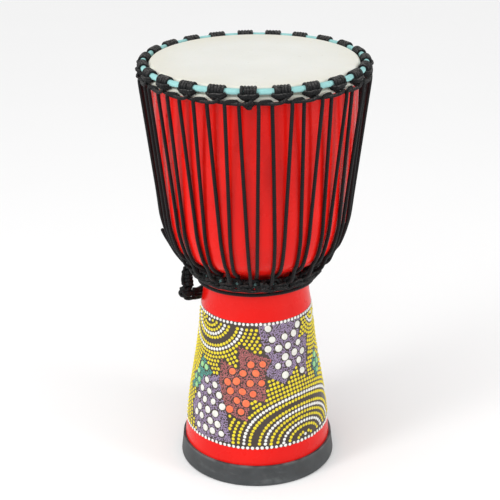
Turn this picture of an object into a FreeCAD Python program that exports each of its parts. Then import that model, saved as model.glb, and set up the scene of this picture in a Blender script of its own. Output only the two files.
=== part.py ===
"""Djembe: a rope-tuned goblet drum, in millimetres.

+Z is up and the origin is the centre of the foot, on the floor. -Y is the front.
The wooden shell stands on a rubber foot cover. The skin lies over the shell's top edge and is folded
round the flesh ring. The crown ring presses on that fold, and one long rope is laced up and down
between cord loops on the crown ring and cord loops on the bottom ring, which sits under the bowl.
The spare rope goes round the neck and ends in a wrapped hand hold on the left.
"""
import FreeCAD
import Part

import math
import os

from FreeCAD import Vector

AXIS = Vector(0, 0, 1)
CENTRE = Vector(0, 0, 0)

# Driving dimensions
HEAD_TOP = 600.0            # playing surface above the floor
LOOPS = 23                  # loops on each ring, so the rope runs up and down 23 times
PITCH = 360.0 / LOOPS
TOP_LOOP_ANGLE = -85.0      # centre of the top loop nearest the front, degrees from +X
BOTTOM_TWIST = 1.2          # degrees that the bottom ring's cords are turned on from the top ones
ROPE = 5.0                  # lacing rope diameter
CORD = 3.6                  # loop cord diameter
GAP = 0.35                  # clearance between a rope and what it lies on

# Shell outline outside, as (radius, height)
OUTSIDE = [(110.3, 3.0), (107.1, 31.0), (103.4, 72.0), (96.4, 120.0), (91.3, 150.0), (86.6, 180.0),
           (83.0, 210.0), (79.9, 240.0), (77.0, 258.0), (75.7, 272.0), (76.2, 285.0), (78.0, 298.0),
           (80.2, 307.5), (83.6, 314.0), (89.5, 319.5), (96.5, 324.0), (104.0, 329.0),
           (111.5, 335.8), (118.3, 346.0), (123.3, 360.0), (127.4, 374.0), (130.8, 392.0),
           (133.6, 420.0), (135.8, 450.0), (138.8, 492.0), (140.5, 540.0), (141.0, 588.0)]
# Shell outline inside, as (radius, height)
INSIDE = [(133.0, 592.0), (131.0, 575.0), (127.5, 500.0), (123.5, 430.0), (118.0, 390.0),
          (108.0, 361.0), (90.0, 340.0), (71.0, 322.0), (62.0, 300.0), (61.5, 268.0), (68.5, 210.0),
          (82.0, 130.0), (92.0, 60.0), (98.0, 3.0)]
# Bearing edge between the two, under the skin
BEARING_EDGE = [(140.8, 592.6), (139.4, 596.2), (136.4, 598.5), (133.7, 596.6)]

# Skin and flesh ring
SKIN = 0.9
SKIN_RADIUS = 141.0 + 0.2 + SKIN / 2
FLESH_RING = (146.6, 584.9, 2.5)    # radius, height, bar radius
FOLD_GAP = 0.15

# Crown ring and bottom ring
BAR = 3.0                   # bar radius of both
CLOTH = 1.0                 # cloth wound round both
CROWN = (150.2, 596.0)      # radius, height
CROWN_COIL = 22.0           # width of each group of cord turns on the crown ring
BOTTOM_SEAT = 308.5         # height on the shell where the bottom ring rests
BOTTOM_COIL = 12.0
COIL_RADIUS = BAR + CLOTH + CORD
LOOP_RADIUS = BAR + CLOTH + CORD / 2
RING_GAP = 0.25             # clearance between the bottom ring's cord and the shell

# Lacing
TOP_SPREAD = 8.8            # from the middle of a top loop to each leg of the rope
BOTTOM_SPREAD = 3.75
TOP_FRONT = 156.9           # radius of the leg that passes outside a top loop
TOP_BACK = 153.4            # radius of the leg that passes inside it
TOP_OVER = 585.2            # height of the rope where it crosses in a top loop
TOP_CORNER = 3.4            # how far the rope is cut across its corners there
LOOP_LOW = 580.4            # height of the lowest point of a top loop
LOOP_SAG = 0.9              # how far the middle of a top loop hangs below its corners
LOOP_DROP = 3.6             # how far a top loop comes down before it turns under its hitch
LOOP_SLANT = 30.0           # a top loop leaves its ring this many degrees outwards from straight down
LOOP_PLAY = 0.1             # clearance between a top loop and the legs of the rope
HOOK_PAST = 326.0           # height where the rope has passed the loop
HOOK_SEAT = 319.5           # height on the shell of the bottom hooks
HOOK_SIDE = 2.2             # how far above that, along the shell, the sides of a bottom loop turn
HOOK_TOP = 5.2              # and its top runs
HOOK_PLAY = 0.12            # clearance between a bottom loop and the rope on each side of it
LEG_TOP = 574.0             # below this a leg heads straight for the side of the bowl
LEG_HEIGHTS = [385.0, 368.0, 354.5, 344.0, 335.5]
LEG_OFF = ROPE / 2 + 0.75    # from the side to the middle of a leg
HOOK_BACK = ROPE / 2 + 0.25                 # from the shell to the rope behind a bottom loop
HOOK_OUT = HOOK_BACK + (ROPE + CORD) / 2 + HOOK_PLAY    # and to the loop itself
HOOK_FRONT = HOOK_OUT + (ROPE + CORD) / 2 + HOOK_PLAY   # and to the rope in front of it

# Rubber foot cover
FOOT = 3.0                  # its thickness
FOOT_HEIGHT = 31.0
FOOT_FLOOR = 94.0           # inner radius of the lip under the shell
FOOT_WALL_BEND = 150.0      # radius of the slight bend halfway up its wall
FOOT_CORNER = 0.1           # radius inside its lower corner

# Knots that end the cords: half length, half thickness, distance outwards and height
CROWN_KNOT = (6.2, 3.2, 3.6, 580.6)             # outwards from the crown ring
BOTTOM_KNOT = (5.6, 4.0, COIL_RADIUS + 4.3, -1.0)   # outwards and up from the bottom ring

# Hand hold and spare rope on the left side
HAND_TOP = Vector(-97.0, 0, 301.2)          # the rope that the hand hold is wound round
HAND_BOTTOM = Vector(-96.2, 0, 244.6)
HAND_GAP = 0.35                             # clearance between it and the hand hold
GRIP_HEIGHTS = (268.4, 296.0)
GRIP_SIZE = (8.2, 7.4)                      # half its width outwards and sideways
GRIP_OUT = 2.4                              # its middle, outwards from that rope
KNOT_RADIUS = 9.3
KNOT_MIDDLE = (4.4, 255.6)                  # outwards from that rope, and height
KNOT_STEP = (3.0, 250.4)                    # the knot stops here, to leave the neck rope room
NECK_ROUTE = [(-91.3, 0.0, 247.0), (-87.0, 12.0, 241.8), (-78.3, 35.0, 234.5), (-58.0, 65.5, 232.5),
              (-30.0, 83.0, 237.5), (2.0, 87.0, 245.0), (40.5, 76.0, 257.0), (70.8, 44.4, 270.0),
              (81.8, 1.0, 280.5), (70.1, -43.4, 286.0), (38.0, -73.6, 288.0), (-6.1, -82.7, 288.0),
              (-50.8, -65.8, 286.5), (-78.0, -27.0, 284.0), (-79.8, 18.7, 281.5), (-66.3, 46.8, 279.5)]
TIE_ROUTE = [(-87.6, 2.2, 258.8), (-83.8, 12.0, 256.8), (-77.1, 29.8, 253.0), (-63.8, 52.9, 248.5)]
TAIL_ROUTE = [(103.6, 304.6), (113.6, 318.0), (121.8, 333.0), (128.0, 344.5), (132.2, 354.0)]


def polar(radius, degrees, height):
    """The point at that radius and angle about the drum's axis."""
    a = math.radians(degrees)
    return Vector(radius * math.cos(a), radius * math.sin(a), height)


def profile_curve(points):
    """A smooth curve through (radius, height) points, in the XZ plane."""
    curve = Part.BSplineCurve()
    curve.interpolate([Vector(r, 0, z) for r, z in points])
    return curve


def revolved(edges):
    """The solid that closed edges in the XZ plane make about the drum's axis."""
    return Part.Face(Part.Wire(edges)).revolve(CENTRE, AXIS, 360)


def rounded(points, radii=None):
    """A wire of straight runs joined by tangent arcs.

    Without radii each arc is as large as 0.45 of its shorter run allows.
    """
    edges, last, made = [], points[0], []
    for i in range(1, len(points) - 1):
        before, here, after = points[i - 1], points[i], points[i + 1]
        back = (before - here).normalize()
        on = (after - here).normalize()
        turn = math.pi - back.getAngle(on)
        if turn < 1e-4:
            continue
        if radii is None:
            reach = 0.45 * min((here - before).Length, (after - here).Length)
        else:
            reach = radii[i - 1] * math.tan(turn / 2)
        radius = reach / math.tan(turn / 2)
        made.append(radius)
        start, end = here + back * reach, here + on * reach
        middle = (back + on).normalize()
        centre = here + middle * math.hypot(radius, reach)
        if (start - last).Length > 1e-6:
            edges.append(Part.LineSegment(last, start).toShape())
        edges.append(Part.Arc(start, centre - middle * radius, end).toShape())
        last = end
    edges.append(Part.LineSegment(last, points[-1]).toShape())
    return Part.Wire(edges), made


def strip(points, radii, thickness):
    """A sheet of that thickness along (radius, height) points, corners rounded, as a revolved solid."""
    half = thickness / 2
    flat = [Vector(r, 0, z) for r, z in points]
    runs = [(b - a).normalize() for a, b in zip(flat, flat[1:])]
    left = [Vector(-d.z, 0, d.x) for d in runs]
    sides = []
    for sign in (1, -1):
        line = [flat[0] + left[0] * half * sign]
        bends = []
        for i in range(1, len(flat) - 1):
            across = (left[i - 1] + left[i]).normalize()
            line.append(flat[i] + across * (half * sign / across.dot(left[i])))
            inward = 1 if runs[i - 1].cross(runs[i]).y < 0 else -1
            bends.append(radii[i - 1] - half * sign * inward)
        line.append(flat[-1] + left[-1] * half * sign)
        sides.append((rounded(line, bends)[0].Edges, line))
    (upper, upper_line), (lower, lower_line) = sides
    ends = [Part.LineSegment(upper_line[-1], lower_line[-1]).toShape(),
            Part.LineSegment(lower_line[0], upper_line[0]).toShape()]
    return revolved(Part.sortEdges(upper + lower + ends)[0])


def tube(points, diameter, name=None):
    """A rope along the points. With a name it prints the bend radii and how true the volume is."""
    path, bends = rounded(points)
    start = path.Edges[0]
    section = Part.Wire(Part.makeCircle(diameter / 2, start.valueAt(start.FirstParameter),
                                        start.tangentAt(start.FirstParameter)))
    made = path.makePipeShell([section], True, False)
    if name:
        ideal = math.pi * diameter ** 2 / 4 * path.Length
        print(f"{name}: length {path.Length:.1f}, smallest bend {min(bends):.1f}, "
              f"volume {made.Volume / ideal:.4f} of ideal, valid {made.isValid()}")
    return made


def ring(radius, height, bar):
    """A round bar bent into a ring about the drum's axis."""
    return Part.makeTorus(radius, bar, Vector(0, 0, height), AXIS)


def ring_sleeve(radius, height, inner, outer, degrees, middle):
    """A stretch of sleeve round such a ring, as wide as that angle, about the angle in the middle."""
    outer_solid = Part.makeTorus(radius, outer, Vector(0, 0, height), AXIS, 0, 360, degrees)
    inner_solid = Part.makeTorus(radius, inner, Vector(0, 0, height), AXIS, 0, 360, degrees)
    return outer_solid.cut(inner_solid).rotated(CENTRE, AXIS, middle - degrees / 2)


def repeated(solid, first=0.0):
    """One copy of a solid for each loop round the drum."""
    return [solid.rotated(CENTRE, AXIS, first + i * PITCH) for i in range(LOOPS)]


class ShellSide:
    """The outside of the shell, as a curve that other pieces lie on."""

    def __init__(self):
        self.curve = profile_curve(OUTSIDE)

    def frame(self, height):
        """The point at that height, the direction up the side and the direction out of it."""
        low, high = self.curve.FirstParameter, self.curve.LastParameter
        for _ in range(50):
            middle = (low + high) / 2
            if self.curve.value(middle).z < height:
                low = middle
            else:
                high = middle
        up = self.curve.tangent(low)[0]
        return self.curve.value(low), up, Vector(up.z, 0, -up.x)

    def off(self, height, distance, slide=0.0):
        """(radius, height) of a point that far out of the side, and slid up it."""
        point, up, out = self.frame(height)
        point = point + out * distance + up * slide
        return point.x, point.z


SIDE = ShellSide()
BOTTOM = SIDE.off(BOTTOM_SEAT, COIL_RADIUS + RING_GAP)


def shell():
    """The turned wooden goblet, open from the bearing edge to the foot."""
    outside = SIDE.curve.toShape()
    inside = profile_curve(INSIDE).toShape()
    edge = profile_curve([OUTSIDE[-1], *BEARING_EDGE, INSIDE[0]]).toShape()
    foot = Part.LineSegment(Vector(INSIDE[-1][0], 0, INSIDE[-1][1]),
                            Vector(OUTSIDE[0][0], 0, OUTSIDE[0][1])).toShape()
    return [revolved([outside, edge, inside, foot])]


def foot_cover():
    """The rubber cup round the foot: a wall that follows the shell and a lip under it."""
    lie = GAP + FOOT / 2
    corner = (SIDE.off(FOOT, lie)[0] + 0.3, FOOT / 2)
    places = [(FOOT_FLOOR, FOOT / 2), corner, SIDE.off(FOOT_HEIGHT / 2, lie), SIDE.off(FOOT_HEIGHT, lie)]
    return [strip(places, [FOOT / 2 + FOOT_CORNER, FOOT_WALL_BEND], FOOT)]


def drum_head():
    """The skin, from the middle over the bearing edge and round the flesh ring."""
    r, z, bar = FLESH_RING
    fold = bar + FOLD_GAP + SKIN / 2
    line = [(0.0, HEAD_TOP - SKIN / 2), (SKIN_RADIUS, HEAD_TOP - SKIN / 2), (SKIN_RADIUS, z + 4.0),
            (r - fold + 0.6, z - fold), (r + fold, z - fold), (r + fold, z + fold), (r - 1.0, z + fold)]
    return [strip(line, [4.2, 3.5, 1.6, 2.2, 2.0], SKIN)]


def flesh_ring():
    return [ring(*FLESH_RING)]


def crown_ring():
    return [ring(*CROWN, BAR)]


def bottom_ring():
    return [ring(*BOTTOM, BAR)]


def cloth(place):
    """Cloth wound all round a ring."""
    return [ring(*place, BAR + CLOTH).cut(ring(*place, BAR))]


def hitches(place, width, first):
    """The groups of cord turns on a ring, one between each loop and the next."""
    degrees = math.degrees(width / place[0])
    sleeve = ring_sleeve(*place, BAR + CLOTH + 0.02, COIL_RADIUS, degrees, first + PITCH / 2)
    return repeated(sleeve)


def crown_loops():
    """The cord loops that hang between the hitches of the crown ring."""
    r, z = CROWN
    half = PITCH / 2 - math.degrees(CROWN_COIL / 2 / r)
    slant = math.radians(LOOP_SLANT)
    out, high = LOOP_RADIUS * math.sin(slant), z - LOOP_RADIUS * math.cos(slant)
    inner = TOP_FRONT - (ROPE + CORD) / 2 - LOOP_PLAY
    outer = TOP_BACK + (ROPE + CORD) / 2 + LOOP_PLAY
    drop, low = high - LOOP_DROP, LOOP_LOW + LOOP_SAG
    turn, corner = half - 0.3, half - 1.0       # degrees from the middle of the loop
    route = [(r + out, -half, high), (inner, -turn, drop), (inner, -corner, low),
             ((inner + outer) / 2, 0.0, LOOP_LOW),
             (outer, corner, low), (outer, turn, drop), (r + out, half, high)]
    loop = tube([polar(rr, TOP_LOOP_ANGLE + a, zz) for rr, a, zz in route], CORD, "crown loop")
    return repeated(loop)


def bottom_loops():
    """The cord loops that stand up between the hitches of the bottom ring."""
    r, z = BOTTOM
    half = PITCH / 2 - math.degrees(BOTTOM_COIL / 2 / r)
    seat = SIDE.off(BOTTOM_SEAT, COIL_RADIUS + RING_GAP, LOOP_RADIUS)
    side = SIDE.off(HOOK_SEAT, HOOK_OUT, HOOK_SIDE)
    top = SIDE.off(HOOK_SEAT, HOOK_OUT, HOOK_TOP)
    corner = half - 0.15                        # degrees from the middle of the loop
    route = [(seat, -half), (side, -corner), (top, -half / 2), (top, half / 2), (side, corner),
             (seat, half)]
    middle = TOP_LOOP_ANGLE + BOTTOM_TWIST + PITCH / 2
    loop = tube([polar(p[0], middle + a, p[1]) for p, a in route], CORD, "bottom loop")
    return repeated(loop)


def lacing_rope():
    """The long rope: one stretch from the middle of each bottom hook, over a top loop, to the next."""
    spread = math.degrees(TOP_SPREAD / TOP_FRONT)
    hook = SIDE.off(HOOK_SEAT, HOOK_OUT)
    inset = math.degrees(BOTTOM_SPREAD / hook[0])
    half = PITCH / 2

    def twist(height):
        """How far the rope is turned on at that height."""
        share = (TOP_OVER - TOP_CORNER - height) / (TOP_OVER - TOP_CORNER - HOOK_PAST)
        return BOTTOM_TWIST * max(0.0, min(1.0, share))

    def leg(side, radius, hooked):
        """(radius, angle, height) of the points up one leg, from its hook to the crossing on top."""
        points = [(*SIDE.off(HOOK_SEAT, HOOK_OUT), half)]
        points += [(*SIDE.off(height, hooked), half - inset) for height in (HOOK_SEAT, HOOK_PAST)]
        for height in reversed(LEG_HEIGHTS):
            share = (height - HOOK_SEAT) / (TOP_OVER - HOOK_SEAT)
            points.append((*SIDE.off(height, LEG_OFF), half - inset + (spread - half + inset) * share))
        points.append((radius - 0.5, LEG_TOP, spread))
        points.append((radius, TOP_OVER - TOP_CORNER, spread))
        points.append((radius, TOP_OVER, spread * (1 - TOP_CORNER / TOP_SPREAD)))
        return [polar(r, TOP_LOOP_ANGLE + side * a + twist(z), z) for r, z, a in points]

    up = leg(-1, TOP_FRONT, HOOK_BACK)
    down = leg(1, TOP_BACK, HOOK_FRONT)
    return repeated(tube(up + down[::-1], ROPE, "lacing"))


def lump(middle, along, across):
    """A knot: an egg-shaped lump, long in the first direction it is given as a vector."""
    length = along.Length
    ball = Part.makeSphere(1.0)
    stretch = FreeCAD.Matrix()
    stretch.scale(across, across, length)
    egg = ball.transformGeometry(stretch)
    turn = FreeCAD.Rotation(AXIS, along)
    egg.Placement = FreeCAD.Placement(middle, turn)
    return egg


def crown_cord_knot():
    """The knot that ends the crown ring's cord, hanging under a hitch at the front."""
    angle = TOP_LOOP_ANGLE - PITCH / 2
    length, thick, out, height = CROWN_KNOT
    return [lump(polar(CROWN[0] + out, angle, height), polar(length, angle + 90, 0), thick)]


def bottom_cord_knot():
    """The knot that ends the bottom ring's cord, on the outside of a hitch at the front."""
    angle = TOP_LOOP_ANGLE + BOTTOM_TWIST
    length, thick, out, up = BOTTOM_KNOT
    return [lump(polar(BOTTOM[0] + out, angle, BOTTOM[1] + up), AXIS * length, thick)]


def neck_rope():
    """The spare rope: from the bottom of the hand hold, round the back and once round the neck."""
    return [tube([Vector(*p) for p in NECK_ROUTE], ROPE, "neck rope")]


def hold_tie():
    """The strand from the knot of the hand hold to behind the neck, above the neck rope."""
    return [tube([Vector(*p) for p in TIE_ROUTE], ROPE, "hold tie")]


def rope_tail():
    """The cut end of the rope, lying up the side over the lacing from the hand hold."""
    return [tube([polar(r, 180.0, z) for r, z in TAIL_ROUTE], ROPE, "rope tail")]


def core_point(height):
    """The point at that height on the rope that the hand hold is wound round."""
    share = (HAND_TOP.z - height) / (HAND_TOP.z - HAND_BOTTOM.z)
    return HAND_TOP + (HAND_BOTTOM - HAND_TOP) * share


def core_rope():
    """The straight rope under the bottom ring that the hand hold is wound round and turns on."""
    return [Part.makeCylinder(ROPE / 2, (HAND_TOP - HAND_BOTTOM).Length, HAND_BOTTOM,
                              HAND_TOP - HAND_BOTTOM)]


def core_bore():
    """The space through the hand hold for that rope."""
    along = HAND_TOP - HAND_BOTTOM
    return Part.makeCylinder(ROPE / 2 + HAND_GAP, 3 * along.Length, HAND_BOTTOM - along, along)


def hand_hold():
    """The spare rope wound into a thick grip."""
    low, high = GRIP_HEIGHTS
    out, side = GRIP_SIZE
    section = Part.Ellipse(core_point(low) + Vector(-GRIP_OUT, 0, 0), out, side).toShape()
    grip = Part.Face(Part.Wire([section])).extrude(core_point(high) - core_point(low))
    grip = grip.makeFillet(2.2, [e for e in grip.Edges if e.Closed])
    return [grip.cut(core_bore())]


def hand_knot():
    """The knot below the grip, stepped so that the neck rope passes under its inner half."""
    out, height = KNOT_MIDDLE
    knot = Part.makeSphere(KNOT_RADIUS, core_point(height) + Vector(-out, 0, 0))
    step, under = KNOT_STEP
    room = Part.makeBox(60, 60, 60, core_point(under) + Vector(-step, -30, -60))
    top = Part.makeBox(60, 60, 60, core_point(GRIP_HEIGHTS[0] - 0.4) + Vector(-40, -30, 0))
    return [knot.cut(room).cut(top).cut(core_bore())]


PIECES = {
    "shell": shell,
    "foot_cover": foot_cover,
    "drum_head": drum_head,
    "flesh_ring": flesh_ring,
    "crown_ring": crown_ring,
    "crown_ring_cloth": lambda: cloth(CROWN),
    "crown_hitches": lambda: hitches(CROWN, CROWN_COIL, TOP_LOOP_ANGLE),
    "crown_loops": crown_loops,
    "crown_cord_knot": crown_cord_knot,
    "bottom_ring": bottom_ring,
    "bottom_ring_cloth": lambda: cloth(BOTTOM),
    "bottom_hitches": lambda: hitches(BOTTOM, BOTTOM_COIL, TOP_LOOP_ANGLE + BOTTOM_TWIST + PITCH / 2),
    "bottom_loops": bottom_loops,
    "bottom_cord_knot": bottom_cord_knot,
    "lacing_rope": lacing_rope,
    "neck_rope": neck_rope,
    "hold_tie": hold_tie,
    "core_rope": core_rope,
    "rope_tail": rope_tail,
    "hand_hold": hand_hold,
    "hand_knot": hand_knot,
}

os.makedirs("parts", exist_ok=True)
print(f"bottom ring at radius {BOTTOM[0]:.2f}, height {BOTTOM[1]:.2f}")
for name, make in PIECES.items():
    solids = [s for made in make() for s in made.Solids]
    assert solids and all(s.isValid() and s.Volume > 0 for s in solids), name
    Part.makeCompound(solids).exportStep(f"parts/{name}.step")
    print(f"{name}: {len(solids)} solids, {sum(s.Volume for s in solids) / 1000:.1f} cm3")
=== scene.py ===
import itertools
import math
import random

import bmesh
import bpy
from mathutils import Matrix, Vector, noise


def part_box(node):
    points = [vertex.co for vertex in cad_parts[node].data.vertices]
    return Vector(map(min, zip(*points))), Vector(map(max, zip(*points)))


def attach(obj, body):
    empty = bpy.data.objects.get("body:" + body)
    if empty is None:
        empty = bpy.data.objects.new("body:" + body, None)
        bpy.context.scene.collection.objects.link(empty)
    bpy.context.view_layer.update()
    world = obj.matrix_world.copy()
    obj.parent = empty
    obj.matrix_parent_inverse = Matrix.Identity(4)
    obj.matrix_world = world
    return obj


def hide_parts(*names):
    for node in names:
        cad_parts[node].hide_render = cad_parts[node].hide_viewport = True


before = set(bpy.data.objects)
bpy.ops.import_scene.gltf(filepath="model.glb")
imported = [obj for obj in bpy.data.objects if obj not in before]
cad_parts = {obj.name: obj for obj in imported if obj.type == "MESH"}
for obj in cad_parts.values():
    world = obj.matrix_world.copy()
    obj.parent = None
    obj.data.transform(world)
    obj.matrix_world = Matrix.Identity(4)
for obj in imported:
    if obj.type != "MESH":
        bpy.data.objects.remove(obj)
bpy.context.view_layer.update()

MM = 0.001
AXIS = Vector((0, 0, 1))
rng = random.Random(23)

# The drum's layout, in degrees from the front and in millimetres
LOOPS = 23
PITCH = 360.0 / LOOPS
TOP_LOOP_ANGLE = 5.0  # the middle of a crown loop, at the front
BOTTOM_TWIST = 1.2  # degrees that the bottom ring's cords are turned on
ROPE = 5.0  # diameter of the lacing rope
CORD = 3.8  # diameter of the hitch and loop cord as drawn here
CAD_CORD = 3.6  # and in the CAD, which the hooks are spaced by
HITCH_TURNS = 5  # turns of cord in each crown hitch
HITCH_WIDTH = 21.5  # along the ring
BOTTOM_TURNS = 5  # the same for the bottom hitches
BOTTOM_WIDTH = 19.0
TOP_SPREAD = 8.8  # from the middle of a crown loop to each leg
BOTTOM_SPREAD = 3.75  # from the middle of a bottom hook to each leg
BAND = (57.6, 243.0)  # heights of the painted band


# ---------------- camera

LENS = 95.9  # focal length, mm
SENSOR = 36.0
CAMERA_PLACE = (0, -1.7517, 1.0476)
CAMERA_DOWN, CAMERA_YAW, CAMERA_ROLL = 22.52, 0.27, -0.55  # degrees


def new_object(name, data):
    """An object in the scene that holds the data."""
    made = bpy.data.objects.new(name, data)
    bpy.context.scene.collection.objects.link(made)
    return made


def make_camera():
    """A long lens in front of the drum, looking down at it."""
    data = bpy.data.cameras.new("camera")
    data.lens = LENS
    data.sensor_width = SENSOR
    camera = new_object("camera", data)
    pitch, yaw, roll = math.radians(90 - CAMERA_DOWN), math.radians(CAMERA_YAW), math.radians(CAMERA_ROLL)
    turn = Matrix.Rotation(yaw, 4, "Z") @ Matrix.Rotation(pitch, 4, "X") @ Matrix.Rotation(roll, 4, "Z")
    camera.matrix_world = Matrix.Translation(CAMERA_PLACE) @ turn
    bpy.context.scene.camera = camera


make_camera()


# ---------------- geometry helpers

def polar(radius, degrees, height):
    """The point at that radius and angle from the front (-Y), all in millimetres."""
    a = math.radians(degrees)
    return Vector((radius * math.sin(a), -radius * math.cos(a), height)) * MM


def curve(a, b, c, d, t):
    """The value at share t from b to c on the Catmull-Rom curve through four values or points."""
    return b + 0.5 * t * (c - a + t * (2 * a - 5 * b + 4 * c - d + t * (3 * (b - c) + d - a)))


def ring_of(node):
    """(radius, height, bar radius) in millimetres of a CAD ring."""
    low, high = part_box(node)
    bar = (high.z - low.z) / 2
    return ((high.x - low.x) / 2 - bar) / MM, (high.z + low.z) / 2 / MM, bar / MM


SIDE_LOW, SIDE_STEP, SIDE_COUNT = 4.0, 2.0, 292  # the heights where the shell is measured
SIDE_ANGLES = (7, 127, 247)
WELL_OUTSIDE = 200.0  # a radius beyond the shell everywhere


class Side:
    """The outside of the shell: its radius and slope at any height, read from the CAD shell."""

    def __init__(self):
        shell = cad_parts["shell"]
        self.radii = [self.hit(shell, SIDE_LOW + SIDE_STEP * i) for i in range(SIDE_COUNT)]

    @staticmethod
    def hit(shell, height):
        """The shell's largest radius at a height, of those in a few directions."""
        radii = []
        for degrees in SIDE_ANGLES:
            start = polar(WELL_OUTSIDE, degrees, height)
            found, place, *_ = shell.ray_cast(start, Vector((-start.x, -start.y, 0)).normalized())
            if found:
                radii.append(math.hypot(place.x, place.y) / MM)
        return max(radii)

    def radius(self, height):
        """The radius at any height, on a smooth curve through the measured ones."""
        share = (height - SIDE_LOW) / SIDE_STEP
        i = max(1, min(len(self.radii) - 3, int(share)))
        return curve(*self.radii[i - 1:i + 3], share - i)

    def off(self, height, distance):
        """(radius, height) of a point that far out of the side."""
        slope = (self.radius(height + 1.5) - self.radius(height - 1.5)) / 3.0
        length = math.hypot(1.0, slope)
        return self.radius(height) + distance / length, height - distance * slope / length


SIDE = Side()


def smooth_line(points, step):
    """Points a step apart along a Catmull-Rom curve through the given points, in metres."""
    ends = [points[0] * 2 - points[1], *points, points[-1] * 2 - points[-2]]
    line = []
    for i in range(1, len(ends) - 2):
        count = max(1, round((ends[i + 1] - ends[i]).length / step))
        for k in range(count):
            line.append(curve(*ends[i - 1:i + 3], k / count))
    line.append(points[-1])
    return line


def new_piece(name, mesh, body, nodes=()):
    """A mesh as a piece that rides on a body and stands for CAD nodes."""
    piece = new_object(name, mesh)
    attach(piece, body)
    if nodes:
        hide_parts(*nodes)
    return piece


END_BULGE = 0.6  # how far a rope's rounded end stands out, in half diameters


class Ropes:
    """Collects swept ropes in one mesh, with a UV map of length along and share around."""

    def __init__(self):
        self.mesh = bmesh.new()
        self.uv = self.mesh.loops.layers.uv.new("rope")

    def sweep(self, line, half, sides=12, closed=False, flat=1.0, outward=None, cap=True):
        """A round rope along the line. flat squeezes it towards the outward direction."""
        rings, travelled, distances = [], 0.0, []
        count = len(line)
        across = None
        for i, point in enumerate(line):
            before = line[i - 1] if i or closed else line[0]
            after = line[(i + 1) % count] if i < count - 1 or closed else line[-1]
            along = (after - before).normalized()
            if outward:
                across = outward(point)
            elif across is None:
                across = along.orthogonal()
            across = (across - along * across.dot(along)).normalized()
            side = along.cross(across)
            if i:
                travelled += (point - line[i - 1]).length
            distances.append(travelled)
            ring = []
            for k in range(sides):
                a = 2 * math.pi * k / sides
                ring.append(self.mesh.verts.new(point + across * (half * flat * math.cos(a))
                                                + side * (half * math.sin(a))))
            rings.append(ring)
        spans = count if closed else count - 1
        for i in range(spans):
            near, far = rings[i], rings[(i + 1) % count]
            start = distances[i]
            end = distances[i + 1] if i < count - 1 else start + (line[0] - line[-1]).length
            for k in range(sides):
                m = (k + 1) % sides
                face = self.mesh.faces.new((near[k], near[m], far[m], far[k]))
                face.smooth = True
                corners = ((start, k), (start, k + 1), (end, k + 1), (end, k))
                for loop, (u, v) in zip(face.loops, corners):
                    loop[self.uv].uv = (u, v / sides)
        if cap and not closed:
            bulge = half * END_BULGE
            self.dome(rings[0], line[0], (line[0] - line[1]).normalized() * bulge)
            self.dome(rings[-1], line[-1], (line[-1] - line[-2]).normalized() * bulge)

    def dome(self, ring, centre, bulge):
        """A rounded end on a rope."""
        inner = [self.mesh.verts.new(centre + (v.co - centre) * 0.6 + bulge * 0.8) for v in ring]
        tip = self.mesh.verts.new(centre + bulge)
        for k in range(len(ring)):
            m = (k + 1) % len(ring)
            self.mesh.faces.new((ring[k], ring[m], inner[m], inner[k])).smooth = True
            self.mesh.faces.new((inner[k], inner[m], tip)).smooth = True

    def finish(self, name, body, slot_name, material, nodes=()):
        bmesh.ops.recalc_face_normals(self.mesh, faces=self.mesh.faces)
        mesh = bpy.data.meshes.new(name)
        self.mesh.to_mesh(mesh)
        self.mesh.free()
        mesh.materials.append(material)
        return new_piece(name, mesh, body, nodes)


# ---------------- materials

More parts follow.
